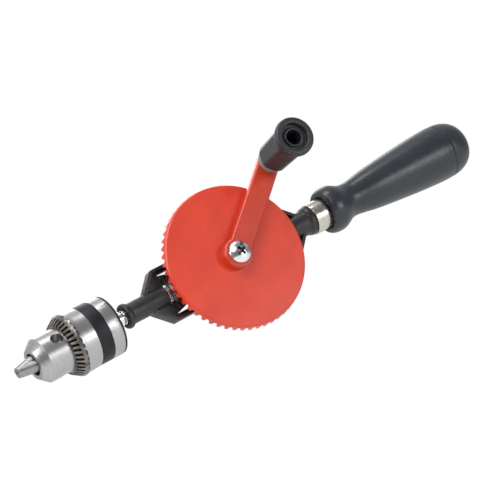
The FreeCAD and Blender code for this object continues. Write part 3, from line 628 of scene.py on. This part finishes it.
jaws = {"dark": (0.27, 0.27, 0.28), "light": (0.36, 0.36, 0.37), "rough": (0.34, 0.44)}


def makeJaws():
    jawSteel = turnedMetal("groundSteel", jaws["dark"], jaws["light"], jaws["rough"])
    for number, body in enumerate(("jaw_a", "jaw_b", "jaw_c"), start=1):
        bm = copyOf("jaw_%d" % number)
        piece = addPiece("jaw%d" % number, bm, body, "turned_steel", "jaw_%d" % number)
        piece.data.materials[0] = jawSteel


shaft = {
    # grooves past the chuck's plate and before the frame's nose: start, end, depth, edge rounding
    "plateGroove": (1.2, 2.4, 0.35, 0.15), "noseGroove": (-1.6, -0.2, 0.3, 0.1),
    "flank": 0.3, "tip": 0.5, "tail": 0.4,
}


def makeSpindle():
    front, end = span("spindle")
    radius = span("spindle", 2)[1]
    plate = span("chuck_rear_plate")[1]
    mouth = span("frame_casting")[0]
    flank = shaft["flank"]
    outline = [(front, 0, 0), (front, radius, shaft["tip"])]
    for datum, groove in ((plate, "plateGroove"), (mouth, "noseGroove")):
        start, stop, depth, rounding = shaft[groove]
        start, stop, floor = datum + start, datum + stop, radius - depth
        outline += [(start, radius, rounding), (start + flank, floor, 0.1),
                    (stop - flank, floor, 0.1), (stop, radius, rounding)]
    outline += [(end, radius, shaft["tail"]), (end, 0, 0)]
    bm = spinRound(straightOutline(outline), 72)
    addPiece("spindleShaft", bm, "spindle", "zinc", "spindle")


wheel = {"faceEdge": 0.3, "toothEdge": 0.3, "faceDepth": 0.5}


def makeWheel():
    bm = copyOf("main_gear")
    face = -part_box("main_gear")[0].y
    softenEdges(bm, wheel["faceEdge"], 30.0, 3,
                lambda edge: min(-v.co.y for v in edge.verts) > face - wheel["faceDepth"] * mm)
    softenEdges(bm, wheel["toothEdge"], 40.0)
    addPiece("toothedWheel", bm, "crank", "red_paint", "main_gear", sharp=40.0)


pinion = {"edge": 0.15}


def makePinions():
    for node, body in (("front_pinion", "spindle"), ("idler_pinion", "idler")):
        bm = copyOf(node)
        softenEdges(bm, pinion["edge"], 40.0)
        addPiece(node + "Teeth", bm, body, "dark_steel", node, sharp=35.0)


# painted shade: the arm is painted a little darker and browner than the wheel, standing in for its bent face
# catching less light
arm = {"edge": 1.5, "paint": ((0.46, 0.028, 0.009), (0.54, 0.038, 0.013))}


def makeArm():
    bm = copyOf("crank_arm")
    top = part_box("crank_arm")[0].y
    softenEdges(bm, arm["edge"], 40.0, 4,
                lambda edge: max(v.co.y for v in edge.verts) < top + 0.1 * mm)
    piece = addPiece("crankArm", bm, "crank", "red_paint", "crank_arm", sharp=60.0)
    # the darker arm red is painted shade
    piece.data.materials[0] = redPaint("armShadedEnamel", arm["paint"])


# the dark and light colours at the end are painted shade for the cross recess
screw = {"shank": 2.5, "headRadius": 6.5, "headHeight": 3.6, "rim": 1.1, "crown": (4.4, 0.8),
         "crossLength": 4.7, "crossWidth": 2.1, "crossDepth": 2.4, "crossTaper": 0.35,
         "widthTaper": 0.6, "edge": 0.1, "turn": 20.0, "recessReach": 4.0, "recessTop": 1.3,
         "dark": (0.035, 0.035, 0.037), "light": (0.11, 0.11, 0.12), "rough": (0.35, 0.5)}


def makeScrew():
    base = -span("crank_screw", 1)[1]
    seat = -span("crank_arm", 1)[0]
    top = seat + screw["headHeight"]
    radius, shank = screw["headRadius"], screw["shank"]
    crown, drop = screw["crown"]
    bm = spinRound(straightOutline([
        (base, 0, 0), (base, shank, 0.4), (seat, shank, 0), (seat, radius, 0.25),
        (seat + screw["rim"], radius, 0.5), (top - drop, crown, 1.4), (top, 1.6, 1.0),
        (top, 0, 0)]), 72)
    for quarter in (0, 90):
        bm = cutAway(bm, crossBlade(quarter, top))
    # faces of the cross recess get the painted shade
    for face in bm.faces:
        if inRecess(face, seat, top):
            face.material_index = 1
    softenEdges(bm, screw["edge"], 45.0)
    turn = Matrix.Rotation(math.radians(screw["turn"]), 4, "X")
    bmesh.ops.transform(bm, matrix=outward(jointPoint("crank_turn")) @ turn, verts=bm.verts)
    piece = addPiece("crankScrew", bm, "crank", "zinc", "crank_screw")
    piece.data.materials.append(oiledMetal("recessPaintedShade", screw["dark"], screw["light"],
                                           screw["rough"]))


def crossBlade(quarter, top):
    # one blade of the driver's cross, narrower at its tip
    blade = bmesh.new()
    size = (2 * screw["crossDepth"], 2 * screw["crossLength"], screw["crossWidth"])
    bmesh.ops.create_cube(blade, size=mm, matrix=Matrix.Diagonal((*size, 1)))
    inner = [v for v in blade.verts if v.co.x < 0]
    bmesh.ops.scale(blade, verts=inner, vec=(1, screw["crossTaper"], screw["widthTaper"]))
    turn = Matrix.Rotation(math.radians(quarter), 4, "X")
    bmesh.ops.transform(blade, matrix=Matrix.Translation((top * mm, 0, 0)) @ turn,
                        verts=blade.verts)
    return blade


def inRecess(face, seat, top):
    # a wall or the floor of the cross, which get a dark finish painted as the shade inside the recess
    place = face.calc_center_median()
    near = place.yz.length < screw["recessReach"] * mm and place.x > (seat + 0.2) * mm
    return near and (abs(face.normal.x) < 0.6 or place.x < (top - screw["recessTop"]) * mm)


knob = {"rimRadius": 11.4, "rimLength": 3.2, "neckRadius": 10.4, "baseRadius": 9.3,
        "bossRadius": 7.3, "bossLength": 2.8, "hole": 4.3, "tube": 5.6, "tubeStep": 2.0,
        "dish": 7.5, "dishDepth": 3.4, "flats": 6, "flatAcross": 9.0, "flatDepth": 3.0,
        "flatLean": 1.5, "flatStart": 3.4, "flatLength": 26.0, "flatWidth": 14.0,
        "flatTurn": 0.25, "flatEdge": 0.3, "pinHole": 3.05, "holeDepth": 24.5}


def knobSection(start, end):
    rim = end - knob["rimLength"]
    boss = start + knob["bossLength"]
    floor, tubeEnd = end - knob["dishDepth"], end - knob["tubeStep"]
    holeEnd = end - knob["holeDepth"]
    return [
        (start, knob["pinHole"], 0), (start, knob["bossRadius"] - 0.3, 0.3),
        (boss, knob["bossRadius"], 0.3), (boss + 1.0, knob["baseRadius"], 0.4),
        (rim - 1.2, knob["neckRadius"], 0.5), (rim, knob["neckRadius"] + 0.1, 0),
        (rim, knob["rimRadius"], 0.5), (end - 0.9, knob["rimRadius"], 0.7),
        (end, knob["rimRadius"] - 1.2, 0.8), (end, knob["dish"] + 0.7, 0.4),
        (end - 0.8, knob["dish"] + 0.1, 0.3), (floor, knob["dish"], 0.4),
        (floor, knob["tube"], 0.3), (tubeEnd, knob["tube"], 0.4), (tubeEnd, knob["hole"], 0.4),
        (holeEnd, knob["hole"], 0), (holeEnd, knob["pinHole"], 0)]


def makeKnob():
    start, end = sorted(-side for side in span("crank_knob", 1))
    bm = spinRound(straightOutline(knobSection(start, end), closed=True))
    flat = knob["flatLength"]
    for index in range(knob["flats"]):
        block = bmesh.new()
        size = (flat, knob["flatWidth"], 2 * knob["flatDepth"])
        bmesh.ops.create_cube(block, size=mm, matrix=Matrix.Diagonal((*size, 1)))
        lean = Matrix.Rotation(math.radians(-knob["flatLean"]), 4, "Y")
        middle = ((start + knob["flatStart"] + flat / 2) * mm, 0,
                  (knob["flatAcross"] + knob["flatDepth"]) * mm)
        turn = Matrix.Rotation(math.tau * (index + knob["flatTurn"]) / knob["flats"], 4, "X")
        bmesh.ops.transform(block, matrix=turn @ Matrix.Translation(middle) @ lean,
                            verts=block.verts)
        bm = cutAway(bm, block)
    softenEdges(bm, knob["flatEdge"], 25.0, 3, lambda edge: inGripZone(edge, start, end))
    bmesh.ops.transform(bm, matrix=outward(jointPoint("knob_spin")), verts=bm.verts)
    addPiece("crankKnob", bm, "knob", "knob_plastic", "crank_knob")


def inGripZone(edge, start, end):
    # an edge of the gripping flats, away from the bore and the rim
    rim = (end - knob["rimLength"] - 0.5) * mm
    return all((start + 0.2) * mm < v.co.x < rim and v.co.yz.length > 8.0 * mm
               for v in edge.verts)


collar = {"pinHole": 3.01, "foot": 0.3, "shoulder": 0.5}


def makeKnobCollar():
    start, end = sorted(-side for side in span("knob_collar", 1))
    outer = (span("knob_collar", 0)[1] - span("knob_collar", 0)[0]) / 2
    bm = spinRound(straightOutline([
        (start, collar["pinHole"], 0), (start, outer, collar["foot"]),
        (end, outer - 0.3, collar["shoulder"]), (end, collar["pinHole"], 0)], closed=True), 64)
    bmesh.ops.transform(bm, matrix=outward(jointPoint("knob_spin")), verts=bm.verts)
    addPiece("knobCollar", bm, "crank", "collar_plastic", "knob_collar")


def finishInnerNodes():
    # the inner nodes keep their CAD shape and only get a finish
    slots = {row["node"]: row["material_slot"] for row in frame["record"]["subparts"]}
    for name, node in frame["nodes"].items():
        node.data.materials.clear()
        node.data.materials.append(finishes[slots[name]])
    print("nodes finished:", len(slots))


placeCamera()
finishes = makeFinishes()
makeStudio()
finishInnerNodes()
for make in (makeGrip, makeEndCap, makeFerrule, makeFrame, makeChuckNose, makeSleeve,
             makeSleeveBand, makeRearPlate, makeJaws, makeSpindle, makeWheel, makePinions,
             makeArm, makeScrew, makeKnob, makeKnobCollar):
    make()
    print("made:", make.__name__)
